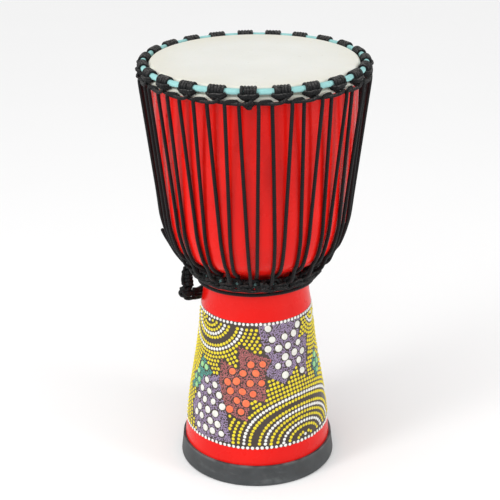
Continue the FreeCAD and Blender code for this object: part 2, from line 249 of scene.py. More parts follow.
class Shader:
    """A small helper for building one material's nodes."""

    def __init__(self, name, roughness=0.5, **fixed):
        self.material = bpy.data.materials.new(name)
        self.material.use_nodes = True
        self.tree = self.material.node_tree
        self.shader = self.tree.nodes["Principled BSDF"]
        self.shader.inputs["Roughness"].default_value = roughness
        for key, value in fixed.items():
            self.shader.inputs[key.replace("_", " ")].default_value = value
        self.place = self.tree.nodes.new("ShaderNodeTexCoord")

    def link(self, out, into):
        self.tree.links.new(out, into)
        return into

    def math(self, kind, a, b=0.0, c=None):
        """One sum, of numbers or of other nodes' results."""
        node = self.tree.nodes.new("ShaderNodeMath")
        node.operation = kind
        for socket, value in zip(node.inputs, (a, b, c)):
            if value is None:
                continue
            if isinstance(value, (int, float)):
                socket.default_value = value
            else:
                self.link(value, socket)
        return node.outputs[0]

    def times(self, a, b):
        return self.math("MULTIPLY", a, b)

    def noise(self, scale, detail=3.0, stretch=(1, 1, 1), source="Object"):
        """Cloudy noise from 0 to 1, so many lumps to the metre."""
        mapping = self.tree.nodes.new("ShaderNodeMapping")
        mapping.inputs["Scale"].default_value = stretch
        self.link(self.place.outputs[source], mapping.inputs["Vector"])
        node = self.tree.nodes.new("ShaderNodeTexNoise")
        node.inputs["Scale"].default_value = scale
        node.inputs["Detail"].default_value = detail
        self.link(mapping.outputs["Vector"], node.inputs["Vector"])
        return node.outputs["Fac"]

    def split(self, source="Object"):
        """The three numbers of the place on the piece, in metres, or of its UV map."""
        node = self.tree.nodes.new("ShaderNodeSeparateXYZ")
        self.link(self.place.outputs[source], node.inputs[0])
        return node.outputs

    def step(self, value, low, high):
        """0 below low, 1 above high."""
        node = self.tree.nodes.new("ShaderNodeMapRange")
        self.link(value, node.inputs["Value"])
        node.inputs["From Min"].default_value = low
        node.inputs["From Max"].default_value = high
        return node.outputs["Result"]

    def mix(self, share, a, b):
        """A blend of two colours: a where share is 0, b where it is 1."""
        node = self.tree.nodes.new("ShaderNodeMix")
        node.data_type = "RGBA"
        self.link(share, node.inputs["Factor"])
        for socket, value in ((node.inputs[6], a), (node.inputs[7], b)):
            if isinstance(value, tuple):
                socket.default_value = (*value, 1.0)
            else:
                self.link(value, socket)
        return node.outputs[2]

    def colour(self, value):
        self.link(value, self.shader.inputs["Base Color"])

    def rough(self, value, low, high):
        """Roughness from low to high as value goes from 0 to 1."""
        self.link(self.math("MULTIPLY_ADD", value, high - low, low), self.shader.inputs["Roughness"])

    def bump(self, height, depth, strength=1.0):
        node = self.tree.nodes.new("ShaderNodeBump")
        node.inputs["Strength"].default_value = strength
        node.inputs["Distance"].default_value = depth
        self.link(height, node.inputs["Height"])
        self.link(node.outputs["Normal"], self.shader.inputs["Normal"])


def shell_paint():
    """Glossy red paint, a dark band under the dots, and bare wood inside."""
    s = Shader("shell_paint", Coat_Weight=0.12, Coat_Roughness=0.14, Specular_IOR_Level=0.12)
    x, y, z = s.split()
    grain = s.noise(9.0, 5.0, (1, 1, 0.12))
    cloud = s.noise(14.0, 2.0)
    red = s.mix(s.step(cloud, 0.35, 0.7), (0.80, 0.009, 0.005), (0.70, 0.006, 0.004))
    dark = s.mix(s.step(grain, 0.3, 0.7), (0.050, 0.038, 0.033), (0.078, 0.062, 0.053))
    low, high = BAND
    near, far = 0.6, 1.0  # the band's dark ground ends between these distances past its dots
    above = s.step(z, (low - far) * MM, (low - near) * MM)
    below = s.math("SUBTRACT", 1.0, s.step(z, (high + near) * MM, (high + far) * MM))
    outside = s.mix(s.times(above, below), red, dark)
    geometry = s.tree.nodes.new("ShaderNodeNewGeometry")
    facing = s.tree.nodes.new("ShaderNodeVectorMath")
    facing.operation = "DOT_PRODUCT"
    flat = s.tree.nodes.new("ShaderNodeCombineXYZ")
    s.link(x, flat.inputs[0])
    s.link(y, flat.inputs[1])
    s.link(geometry.outputs["Normal"], facing.inputs[0])
    s.link(flat.outputs[0], facing.inputs[1])
    wood = s.mix(s.step(grain, 0.35, 0.65), (0.34, 0.19, 0.10), (0.21, 0.105, 0.05))
    s.colour(s.mix(s.step(facing.outputs["Value"], -0.002, 0.002), wood, outside))
    s.rough(s.noise(40.0, 4.0), 0.20, 0.36)
    s.bump(s.noise(60.0, 4.0, (1, 1, 0.35)), 0.00035, 0.35)
    return s.material


def skin():
    """Dry rawhide: off-white, a little yellow at the edge, with faint blotches and veins."""
    s = Shader("rawhide", Subsurface_Weight=0.08, Subsurface_Radius=(0.004, 0.003, 0.002), IOR=1.45)
    x, y, _ = s.split()
    radius = s.math("SQRT", s.math("ADD", s.times(x, x), s.times(y, y)))
    blotch = s.noise(11.0, 4.0)
    edge = s.times(s.step(radius, 0.085, 0.143), s.step(s.noise(7.0, 3.0), 0.25, 0.75))
    base = s.mix(s.step(blotch, 0.3, 0.75), (0.81, 0.81, 0.765), (0.755, 0.755, 0.70))
    base = s.mix(s.times(edge, 0.55), base, (0.72, 0.665, 0.48))
    speck = s.step(s.noise(170.0, 2.0), 0.66, 0.74)
    s.colour(s.mix(s.times(speck, 0.25), base, (0.50, 0.44, 0.34)))
    s.rough(s.noise(60.0, 4.0), 0.42, 0.66)
    s.bump(s.math("ADD", s.noise(260.0, 4.0), s.times(blotch, 1.5)), 0.0004, 0.5)
    return s.material


def woven_black(name, upward_grey):
    """Braided black rope: a diamond braid along the rope with painted shade in its grooves, greyer in
    patches on its upward faces.
    """
    s = Shader(name, Sheen_Weight=0.02, Sheen_Roughness=0.4, Specular_IOR_Level=0.2)
    u, v, _ = s.split("UV")
    strands, lay = 5.0, 1000.0  # strands each way round, and turns along in radians per metre
    round_it = s.times(v, 2 * math.pi * strands)
    along_it = s.times(u, lay)
    left = s.math("SINE", s.math("ADD", round_it, along_it))
    right = s.math("SINE", s.math("SUBTRACT", round_it, along_it))
    braid = s.times(left, right)
    fuzz = s.noise(900.0, 3.0)
    geometry = s.tree.nodes.new("ShaderNodeNewGeometry")
    normal = s.tree.nodes.new("ShaderNodeSeparateXYZ")
    s.link(geometry.outputs["Normal"], normal.inputs[0])
    # greyer patches, mottled by noise, on faces that point up
    top = s.times(s.step(normal.outputs[2], 0.1, 0.95), s.step(s.noise(420.0, 4.0), 0.38, 0.66))
    # painted shade: the braid's grooves, where the bump sinks, are darker than its crests
    base = s.mix(s.step(braid, -0.9, 0.9), (0.0022, 0.0025, 0.003), (0.0070, 0.0080, 0.0092))
    base = s.mix(s.times(s.step(fuzz, 0.55, 0.8), 0.2), base, (0.022, 0.022, 0.022))
    s.colour(s.mix(s.times(top, upward_grey), base, (0.15, 0.145, 0.14)))
    s.rough(fuzz, 0.38, 0.68)
    s.bump(s.math("ADD", braid, s.times(fuzz, 0.8)), 0.00045, 0.8)
    return s.material


def ring_cloth():
    """Turquoise cotton strip with a fine weave, its raised threads paler as a painted highlight."""
    s = Shader("ring_cloth", Sheen_Weight=0.1, Sheen_Roughness=0.5, Specular_IOR_Level=0.2)
    u, v, _ = s.split("UV")
    warp, weft = 9000.0, 260.0  # threads along the ring and round its bar, in radians
    weave = s.times(s.math("SINE", s.times(u, warp)), s.math("SINE", s.times(v, weft)))
    base = s.mix(s.step(s.noise(120.0, 4.0), 0.3, 0.75), (0.34, 0.66, 0.65), (0.28, 0.58, 0.57))
    # painted highlight: the weave's raised crests, where the bump is highest, are paler
    s.colour(s.mix(s.times(s.step(weave, 0.2, 1.0), 0.08), base, (0.55, 0.86, 0.84)))
    s.rough(s.noise(300.0, 2.0), 0.74, 0.92)
    s.bump(weave, 0.00012, 0.6)
    return s.material


def rubber():
    """Dark grey rubber with pale scuffs along its edges."""
    s = Shader("rubber")
    _, _, z = s.split()
    wear = s.times(s.step(s.noise(26.0, 6.0, (1, 1, 3.5)), 0.52, 0.70),
                   s.step(s.noise(120.0, 4.0), 0.35, 0.7))
    edge = s.times(s.step(z, 0.027, 0.031), s.step(s.noise(40.0, 4.0), 0.40, 0.62))
    base = s.mix(s.step(s.noise(60.0, 3.0), 0.3, 0.7), (0.030, 0.034, 0.036), (0.044, 0.049, 0.052))
    base = s.mix(s.times(wear, 0.5), base, (0.155, 0.165, 0.165))
    s.colour(s.mix(s.times(edge, 0.5), base, (0.20, 0.21, 0.21)))
    s.rough(wear, 0.55, 0.85)
    s.bump(s.noise(340.0, 4.0), 0.0003, 0.5)
    return s.material


def steel():
    """Plain bar with faint draw lines and a little rust."""
    s = Shader("ring_steel", Metallic=1.0)
    rust = s.step(s.noise(45.0, 5.0), 0.55, 0.72)
    s.colour(s.mix(rust, (0.46, 0.46, 0.47), (0.20, 0.10, 0.06)))
    s.rough(s.noise(150.0, 4.0, (1, 1, 8)), 0.28, 0.60)
    s.bump(s.noise(400.0, 3.0, (1, 1, 6)), 0.0001, 0.4)
    return s.material


def dot_paint(name, colour, shade):
    """Thick matt dots, each a little uneven in colour."""
    s = Shader(name)
    s.colour(s.mix(s.step(s.noise(210.0, 3.0), 0.35, 0.68), colour, shade))
    s.rough(s.noise(300.0, 3.0), 0.38, 0.60)
    s.bump(s.noise(700.0, 3.0), 0.0002, 0.4)
    return s.material


# The second number is how grey a rope gets in patches on its faces that point up
ROPE_BLACK = woven_black("lacing_black", 0.12)
HITCH_BLACK = woven_black("hitch_black", 0.85)
CLOTH = ring_cloth()

CROWN = ring_of("crown_ring")  # radius, height, bar radius
BOTTOM = ring_of("bottom_ring")
CLOTH_BAR = ring_of("crown_ring_cloth")[2]  # bar radius with the cloth on it


# ---------------- rings

def round_ring(place):
    """The direction away from the middle of a ring's bar."""
    radius, height, _ = place

    def outward(point):
        middle = Vector((point.x, point.y, 0)).normalized() * radius * MM + AXIS * height * MM
        return point - middle
    return outward


CLOTH_STRIP = 11.0  # along the ring from turn to turn
CLOTH_LAP = 0.22  # how far a turn rises over its width
CLOTH_SINK = 0.18  # how far its low edge lies under the CAD's surface
CLOTH_CREASE = 0.08  # size of its creases
CLOTH_CREASES = 260  # and how many to the metre


def cloth_winding(name, node, place):
    """A strip of cloth wound round a ring, each turn lapping over the one before."""
    radius, height, _ = place
    turns = round(2 * math.pi * radius / CLOTH_STRIP)
    count, sides = turns * 12, 20
    made = Ropes()
    line = [polar(radius, 360.0 * i / count, height) for i in range(count)]
    made.sweep(line, CLOTH_BAR * MM, sides, closed=True, cap=False,
               outward=lambda point: Vector((point.x, point.y, 0)))
    made.mesh.verts.ensure_lookup_table()
    outward = round_ring(place)
    for index, vert in enumerate(made.mesh.verts):
        along, around = divmod(index, sides)
        lap = (along * turns / count + around / sides) % 1.0
        rise = CLOTH_LAP * lap - CLOTH_SINK + CLOTH_CREASE * noise.noise(vert.co * CLOTH_CREASES)
        vert.co += outward(vert.co).normalized() * rise * MM
    return made.finish(name, "drum", "ring_cloth", CLOTH, [node])


WRAP_STEPS = 36  # points round one turn of cord
WRAP_BITE = 0.15  # how deep the cord sinks into the cloth
WRAP_LEAN = 0.5  # how far a turn may slant along the ring
WRAP_SWELL = 0.25  # unevenness of its seat
WRAP_FLAT = 0.86  # a pressed turn's thickness over its width
WRAP_FILL = 0.54  # half a turn's width over its share of the hitch


def wrap(ropes, place, angle, turns, width, gather):
    """One hitch: turns of cord side by side round a ring, drawn together underneath."""
    radius, height, _ = place
    seat = CLOTH_BAR + CORD / 2 - WRAP_BITE
    for k in range(turns):
        across = (k - (turns - 1) / 2) * width / turns
        lean = rng.uniform(-WRAP_LEAN, WRAP_LEAN)
        line = []
        for step in range(WRAP_STEPS):
            turn = 2 * math.pi * step / WRAP_STEPS
            low = 0.5 - 0.5 * math.sin(turn)
            x = across * (1 - gather * low * low) + lean * math.cos(turn)
            swell = seat + WRAP_SWELL * noise.noise(Vector((angle, k * 3.1, turn)))
            r = radius + swell * math.cos(turn)
            line.append(polar(r, angle + math.degrees(x / r), height + swell * math.sin(turn)))
        half = width / turns * WRAP_FILL * MM
        ropes.sweep(line, half, 10, closed=True, flat=WRAP_FLAT, outward=round_ring(place))


BIGHT_SHARES = (-1.0, -0.84, -0.5, 0.0, 0.5, 0.84, 1.0)  # its points, from end to end
BIGHT_TUCK = 4.2  # how far its ends go in
BIGHT_SHOULDER = 0.55  # the share of its half width where it starts to
BIGHT_DROOP = 14  # degrees that its ends lie lower round the bar


def bight(ropes, place, angle, width, slope, cords, lean):
    """A strand of cord that crosses the outside of a hitch and tucks in at both sides.

    slope is its place round the bar in degrees above level, and cords its distance from the cloth.
    """
    radius, height, _ = place
    reach = CLOTH_BAR + CORD * cords
    line = []
    for share in BIGHT_SHARES:
        far = reach - BIGHT_TUCK * max(0.0, abs(share) - BIGHT_SHOULDER) / (1 - BIGHT_SHOULDER)
        turn = math.radians(slope + lean * share - BIGHT_DROOP * share * share)
        r = radius + far * math.cos(turn)
        x = share * width / 2
        line.append(polar(r, angle + math.degrees(x / r), height + far * math.sin(turn)))
    ropes.sweep(smooth_line(line, 1.3 * MM), CORD / 2 * 0.96 * MM, 10)


# Strands outside each hitch: extra width, slope, cords and lean
CROWN_BIGHTS = [(3.4, -18, 1.32, 5), (4.2, -44, 1.34, -4), (3.4, -68, 1.45, 3)]
BOTTOM_BIGHTS = [(4.0, 12, 1.30, 7), (3.0, -24, 1.30, -6)]
CROWN_GATHER, BOTTOM_GATHER = 0.06, -0.05  # how much narrower a hitch is underneath


def crown_hitches():
    """The groups of cord turns on the crown ring, with strands crossing outside them."""
    ropes = Ropes()
    for i in range(LOOPS):
        angle = TOP_LOOP_ANGLE + (i + 0.5) * PITCH + rng.uniform(-0.25, 0.25)
        width = HITCH_WIDTH + rng.uniform(-1.0, 0.6)
        wrap(ropes, CROWN, angle, HITCH_TURNS, width, CROWN_GATHER)
        for wider, slope, cords, lean in CROWN_BIGHTS:
            bight(ropes, CROWN, angle, width + wider, slope, cords, lean)
    return ropes.finish("crown_hitch_cord", "drum", "black_cord", HITCH_BLACK, ["crown_hitches"])


SAG_PAST = 1.6  # degrees that each loop's ends run on past the middle of a hitch
SAG_RADIUS, SAG_HEIGHT = 155.1, 581.4  # the middle of a loop
SAG_SWING, SAG_SWEEP = 2.7, 1.75  # how it goes from in at one end to out at the other
SAG_CURVE, SAG_HOOK = 0.9, 4.2  # how far it rises evenly, and right at its ends
SAG_HALF = 8  # points on each side of its middle
SAG_UNEVEN = 0.15


def crown_loops():
    """The cords that sag between the hitches to carry the lacing, each tucked behind the next."""
    ropes = Ropes()
    reach = PITCH / 2 + SAG_PAST
    for i in range(LOOPS):
        middle = TOP_LOOP_ANGLE + i * PITCH
        line = []
        for step in range(-SAG_HALF, SAG_HALF + 1):
            share = step / SAG_HALF
            radius = SAG_RADIUS + SAG_SWING * math.sin(share * SAG_SWEEP)
            height = SAG_HEIGHT + SAG_CURVE * share ** 2 + SAG_HOOK * share ** 8
            uneven = rng.uniform(-SAG_UNEVEN, SAG_UNEVEN)
            line.append(polar(radius, middle + share * reach, height + uneven))
        ropes.sweep(smooth_line(line, 1.5 * MM), CORD * 0.60 * MM, 12)
    return ropes.finish("crown_loop_cord", "drum", "black_cord", HITCH_BLACK, ["crown_loops"])


UNDER_STRANDS = ((0.5, 8.2), (5.4, 7.4))  # outwards and down from the ring's bar to their middles
UNDER_WAVE = 0.5  # how far they rise and fall between hitches
UNDER_STEPS = 12  # their points to a hitch


def bottom_hitches():
    """The groups of cord turns on the bottom ring, with strands across them and two underneath."""
    ropes = Ropes()
    for i in range(LOOPS):
        angle = TOP_LOOP_ANGLE + BOTTOM_TWIST + i * PITCH + rng.uniform(-0.4, 0.4)
        width = BOTTOM_WIDTH + rng.uniform(-0.6, 1.2)
        wrap(ropes, BOTTOM, angle, BOTTOM_TURNS, width, BOTTOM_GATHER)
        for wider, slope, cords, lean in BOTTOM_BIGHTS:
            bight(ropes, BOTTOM, angle, width + wider, slope, cords, lean)
    radius, height, _ = BOTTOM
    for out, down in UNDER_STRANDS:
        line = []
        for i in range(LOOPS * UNDER_STEPS):
            wave = UNDER_WAVE * math.sin(2 * math.pi * i / UNDER_STEPS)
            line.append(polar(radius + out, i * PITCH / UNDER_STEPS, height - down + wave))
        ropes.sweep(line, CORD / 2 * MM, 10, closed=True)
    return ropes.finish("bottom_hitch_cord", "drum", "black_cord", HITCH_BLACK, ["bottom_hitches"])


HOOK_SEAT = 319.5  # height on the shell of the bottom hooks
HOOK_PAST = 326.0  # and where the rope has passed them
HOOK_PLAY = 0.12  # clearance between a bottom loop and the ropes
HOOK_BACK = ROPE / 2 + 0.25  # from the shell to the rope behind a loop
HOOK_OUT = HOOK_BACK + (ROPE + CAD_CORD) / 2 + HOOK_PLAY  # to the loop itself
HOOK_FRONT = HOOK_OUT + (ROPE + CAD_CORD) / 2 + HOOK_PLAY  # and to the rope in front of it
LOOP_FOOT = 3.0  # height of a bottom loop's ends over its ring's middle
LOOP_SIDE, LOOP_TOP = 1.4, 3.2  # over the seat, where its sides turn and its top runs
LOOP_INSET = 6.0  # along the ring from a hitch's middle to a loop's side
LOOP_SPLAY = 1.6  # degrees that its ends spread further


def bottom_loops():
    """The cord loops that stand up from the bottom ring and hook the lacing."""
    ropes = Ropes()
    low = (BOTTOM[0] + CLOTH_BAR + CORD / 2, BOTTOM[1] + LOOP_FOOT)
    half = PITCH / 2 - math.degrees(LOOP_INSET / BOTTOM[0])
    side = SIDE.off(HOOK_SEAT + LOOP_SIDE, HOOK_OUT)
    top = SIDE.off(HOOK_SEAT + LOOP_TOP, HOOK_OUT)
    for i in range(LOOPS):
        middle = TOP_LOOP_ANGLE + BOTTOM_TWIST + (i + 0.5) * PITCH
        route = [(low, -half - LOOP_SPLAY), (side, -half), (top, -half / 2), (top, half / 2),
                 (side, half), (low, half + LOOP_SPLAY)]
        line = [polar(p[0], middle + a, p[1]) for p, a in route]
        ropes.sweep(smooth_line(line, 1.3 * MM), CORD / 2 * 0.95 * MM, 10)
    return ropes.finish("bottom_loop_cord", "drum", "black_cord", ROPE_BLACK, ["bottom_loops"])


# ---------------- ropes

LEG_HEIGHTS = [385.0, 368.0, 354.5, 344.0, 335.5]  # where a leg lies along the bowl
LEG_OFF = ROPE / 2 + 0.75  # from the bowl to the middle of a leg
TOP_FRONT, TOP_BACK = 156.9, 153.4  # radius of each leg where it passes a top loop
TOP_MIDDLE = 155.2  # and of the crossing between them
TOP_OVER = 585.0  # height where the rope crosses in a top loop
TOP_CORNER = 3.6  # below that a leg starts to turn over
TOP_SHOULDER = 0.9  # and here it is well round
LEG_TOP = 574.0  # top of a leg's long straight run
LEG_PULL = 0.5  # how much nearer the drum it is there
LEG_STEPS = 7  # spans of the straight run
LEG_SWAY = 0.12  # degrees that it may bend to a side


def lacing():
    """The long rope, from hook to loop and back all round the drum."""
    spread = math.degrees(TOP_SPREAD / TOP_FRONT)
    hook = SIDE.off(HOOK_SEAT, HOOK_OUT)
    inset = math.degrees(BOTTOM_SPREAD / hook[0])
    half = PITCH / 2

    def twist(height):
        """How far the rope is turned on at that height."""
        share = (TOP_OVER - height) / (TOP_OVER - HOOK_PAST)
        return BOTTOM_TWIST * max(0.0, min(1.0, share))

    def leg(side, radius, hooked):
        """Points up one leg, from its hook to the crossing on top, as (radius, angle, height)."""
        points = [(*SIDE.off(height, hooked), half - inset) for height in (HOOK_SEAT, HOOK_PAST)]
        sway = rng.uniform(-LEG_SWAY, LEG_SWAY)
        for height in reversed(LEG_HEIGHTS):
            share = (height - HOOK_SEAT) / (TOP_OVER - HOOK_SEAT)
            angle = half - inset + (spread - half + inset) * share
            points.append((*SIDE.off(height, LEG_OFF), angle))
        low, high = points[-1], (radius - LEG_PULL, LEG_TOP, spread)
        for step in range(1, LEG_STEPS):
            share = step / LEG_STEPS
            r, z, a = (start + (end - start) * share for start, end in zip(low, high))
            points.append((r, z, a + sway * math.sin(math.pi * share)))
        points.append(high)
        points.append((radius, TOP_OVER - TOP_CORNER, spread))
        points.append((radius * 0.75 + TOP_MIDDLE * 0.25, TOP_OVER - TOP_SHOULDER, spread * 0.62))
        return [(r, side * a + twist(z), z) for r, z, a in points]

    line = []
    for i in range(LOOPS):
        middle = TOP_LOOP_ANGLE + i * PITCH
        up = leg(-1, TOP_FRONT, HOOK_BACK)
        down = leg(1, TOP_BACK, HOOK_FRONT)
        for r, a, z in [(hook[0], BOTTOM_TWIST - half, hook[1]), *up, *reversed(down)]:
            line.append(polar(r, middle + a, z))
    line.append(line[0])
    ropes = Ropes()
    ropes.sweep(smooth_line(line, 3.5 * MM)[:-1], ROPE / 2 * MM, 12, closed=True)
    return ropes.finish("lacing", "drum", "black_rope", ROPE_BLACK, ["lacing_rope"])


# Routes of the spare rope, as points in millimetres
NECK_ROUTE = [(-91.3, 0.0, 247.0), (-87.0, 12.0, 241.8), (-78.3, 35.0, 234.5), (-58.0, 65.5, 232.5),
              (-30.0, 83.0, 237.5), (2.0, 87.0, 245.0), (40.5, 76.0, 257.0), (70.8, 44.4, 270.0),
              (81.8, 1.0, 280.5), (70.1, -43.4, 286.0), (38.0, -73.6, 288.0), (-6.1, -82.7, 288.0),
              (-50.8, -65.8, 286.5), (-78.0, -27.0, 284.0), (-79.8, 18.7, 281.5), (-66.3, 46.8, 279.5)]
# The end of the neck rope that comes out of the knot, and the three strands of the tie
NECK_START = [(-103.2, -2.2, 251.2), (-101.8, -1.6, 247.4), (-96.4, -0.6, 246.2)]
TIE_VISIBLE = [(-90.4, 0.6, 261.0), (-87.2, 3.6, 259.4), (-83.8, 12.0, 256.8), (-77.1, 29.8, 253.0),
               (-63.8, 52.9, 248.5)]
TIE_SECOND = [(-90.4, 0.6, 256.2), (-85.4, 9.0, 253.0), (-78.6, 27.0, 247.6), (-65.4, 52.4, 243.2)]
TIE_THIRD = [(-92.6, 0.2, 251.4), (-89.6, 1.6, 250.8), (-85.8, 9.0, 247.6), (-79.2, 27.0, 241.6),
             (-66.8, 52.4, 237.6)]
# The cut end over the lacing at the left, as (radius, height)
TAIL_ROUTE = [(103.6, 304.6), (113.6, 318.0), (121.8, 333.0), (128.0, 344.5), (132.2, 354.0)]
# The two ends of the rope that the hand hold is wound round
HAND_TOP = Vector((-97.0, 0.0, 301.2))
HAND_BOTTOM = Vector((-96.2, 0.0, 244.6))
CORE_SHORT = 5.6  # the core ends this far over its bottom end, inside the knot


def plain_rope(name, node, *routes):
    """Lengths of rope along routes given in millimetres, with rounded ends."""
    ropes = Ropes()
    for route in routes:
        ropes.sweep(smooth_line([Vector(p) * MM for p in route], 2.0 * MM), ROPE / 2 * MM, 16)
    return ropes.finish(name, "drum", "black_rope", ROPE_BLACK, [node])


def core_point(height):
    """The point at that height on the rope that the hand hold is wound round, in millimetres."""
    share = (HAND_TOP.z - height) / (HAND_TOP.z - HAND_BOTTOM.z)
    return HAND_TOP.lerp(HAND_BOTTOM, share)


GRIP_LOW, GRIP_HIGH = 267.4, 293.0  # heights of the grip's first and last turn
GRIP_TURNS = 4.4
GRIP_STEPS = 40  # points to a turn
GRIP_OUT = Vector((-2.0, 0, 0))  # from the core rope to the middle of the turns
GRIP_WIDE, GRIP_DEEP = 5.8, 5.0  # half the width and depth of a turn
GRIP_TAPER = 0.22  # how much smaller the last turn is
GRIP_UNEVEN = 0.05
GRIP_HALF = 3.1  # half the thickness of a turn's rope
GRIP_FLAT = 0.95  # its thickness over its height
# Its loose strand: sideways from the core rope, and height
GRIP_STRAND = [(-5.5, -7.4, 269.0), (-8.6, -6.6, 277.0), (-7.4, -6.0, 287.0), (-4.6, -3.0, 297.0)]


def grip_coil(ropes):
    """Turns of rope, one on another, wound round the core rope."""
    count = int(GRIP_TURNS * GRIP_STEPS)
    line = []
    for i in range(count + 1):
        turn = 2 * math.pi * GRIP_TURNS * i / count
        height = GRIP_LOW + (GRIP_HIGH - GRIP_LOW) * i / count
        uneven = 1.0 + GRIP_UNEVEN * math.sin(turn * 0.37 + 0.6)
        size = uneven * (1.0 - GRIP_TAPER * (i / count) ** 2)
        around = Vector((GRIP_WIDE * size * math.cos(turn), GRIP_DEEP * size * math.sin(turn), 0))
        line.append((core_point(height) + GRIP_OUT + around) * MM)

    def outward(point):
        middle = (core_point(point.z / MM) + GRIP_OUT) * MM
        return Vector((point.x - middle.x, point.y - middle.y, 0))
    ropes.sweep(line, GRIP_HALF * MM, 14, flat=GRIP_FLAT, outward=outward)


def hand_hold():
    """The spare rope wound into a thick grip, with one loose strand drawn up over its turns."""
    ropes = Ropes()
    grip_coil(ropes)
    line = [(core_point(z) + Vector((x, y, 0))) * MM for x, y, z in GRIP_STRAND]
    ropes.sweep(smooth_line(line, 1.5 * MM), ROPE * 0.42 * MM, 12)
    return ropes.finish("hand_hold_winding", "grip", "black_rope", ROPE_BLACK, ["hand_hold"])


KNOT_HEIGHT = 257.2
KNOT_OUT = Vector((-4.2, 0, 0))  # from the core rope to the knot's middle
# Turns of the knot: slope, half width, half depth, and height over its middle
KNOT_TURNS = [(0.22, 6.4, 5.6, 5.4), (-0.20, 7.2, 6.6, 1.0), (0.20, 7.4, 6.4, -3.6), (-0.10, 4.6, 4.2, -1.0)]
# Strands that cross them, as points from its middle
KNOT_STRANDS = [
    [(-6.5, -2.5, -6.0), (-9.2, -3.0, -1.0), (-7.0, -6.4, 4.6), (-1.5, -6.4, 8.0)],
    [(4.0, -4.6, -4.4), (0.5, -7.8, -2.0), (-4.0, -7.8, 2.6), (-7.6, -3.4, 7.2)]]
TURN_STEPS = 40  # points round one turn


def hand_knot():
    """The knot below the grip: rope doubled round itself and pulled tight."""
    ropes = Ropes()
    middle = core_point(KNOT_HEIGHT) + KNOT_OUT
    for slope, wide, deep, rise in KNOT_TURNS:
        line = []
        for step in range(TURN_STEPS):
            turn = 2 * math.pi * step / TURN_STEPS
            x, y = wide * math.cos(turn), deep * math.sin(turn)
            line.append((middle + Vector((x, y, rise + slope * x))) * MM)
        ropes.sweep(line, ROPE * 0.52 * MM, 14, closed=True)
    for strand in KNOT_STRANDS:
        line = [(middle + Vector(p)) * MM for p in strand]
        ropes.sweep(smooth_line(line, 1.5 * MM), ROPE * 0.48 * MM, 14)
    return ropes.finish("hand_hold_knot", "grip", "black_rope", ROPE_BLACK, ["hand_knot"])


def trefoil(name, middle, along, outward, size, half, node):
    """A small overhand knot: a three-lobed closed loop, flattened against what it lies on."""
    up = outward.cross(along)
    line = []
    for step in range(60):
        t = 2 * math.pi * step / 60
        x = (math.sin(t) + 2 * math.sin(2 * t)) / 3 * size[0]
        y = (math.cos(t) - 2 * math.cos(2 * t)) / 3 * size[1]
        z = -math.sin(3 * t) * half * 0.75
        line.append(middle + (along * x + up * y + outward * z) * MM)
    ropes = Ropes()
    ropes.sweep(line, half * MM, 10, closed=True)
    return ropes.finish(name, "drum", "black_cord", HITCH_BLACK, [node])


# Half the width and height of each knot's line, and half the thickness of its cord
CROWN_KNOT, CROWN_KNOT_CORD = (6.0, 3.8), 2.3
BOTTOM_KNOT, BOTTOM_KNOT_CORD = (5.2, 4.6), 2.7
CROWN_KNOT_OUT, CROWN_KNOT_HEIGHT = 3.8, 579.4  # past the ring's radius, and its height
BOTTOM_KNOT_UP = 3.0  # over the ring's middle


def cord_knots():
    """The two knots that end the cords of the crown ring and the bottom ring."""
    angle = TOP_LOOP_ANGLE - PITCH / 2
    out = (polar(1, angle, 0) / MM).normalized()
    place = polar(CROWN[0] + CROWN_KNOT_OUT, angle, CROWN_KNOT_HEIGHT)
    trefoil("crown_knot", place, AXIS.cross(out), out, CROWN_KNOT, CROWN_KNOT_CORD, "crown_cord_knot")
    angle = TOP_LOOP_ANGLE + BOTTOM_TWIST
    out = (polar(1, angle, 0) / MM).normalized()
    place = polar(BOTTOM[0] + CLOTH_BAR + 2 * CORD, angle, BOTTOM[1] + BOTTOM_KNOT_UP)
    trefoil("bottom_knot", place, AXIS, out, BOTTOM_KNOT, BOTTOM_KNOT_CORD, "bottom_cord_knot")


# ---------------- painted dots

CELL = 8  # size of the cells that dabs are looked up by
# Rings of a dab from edge to top, as shares of its radius and height
LARGE_RINGS = ((1.0, 0.0), (0.80, 0.68), (0.42, 0.95))
SMALL_RINGS = ((1.0, 0.0), (0.62, 0.85))


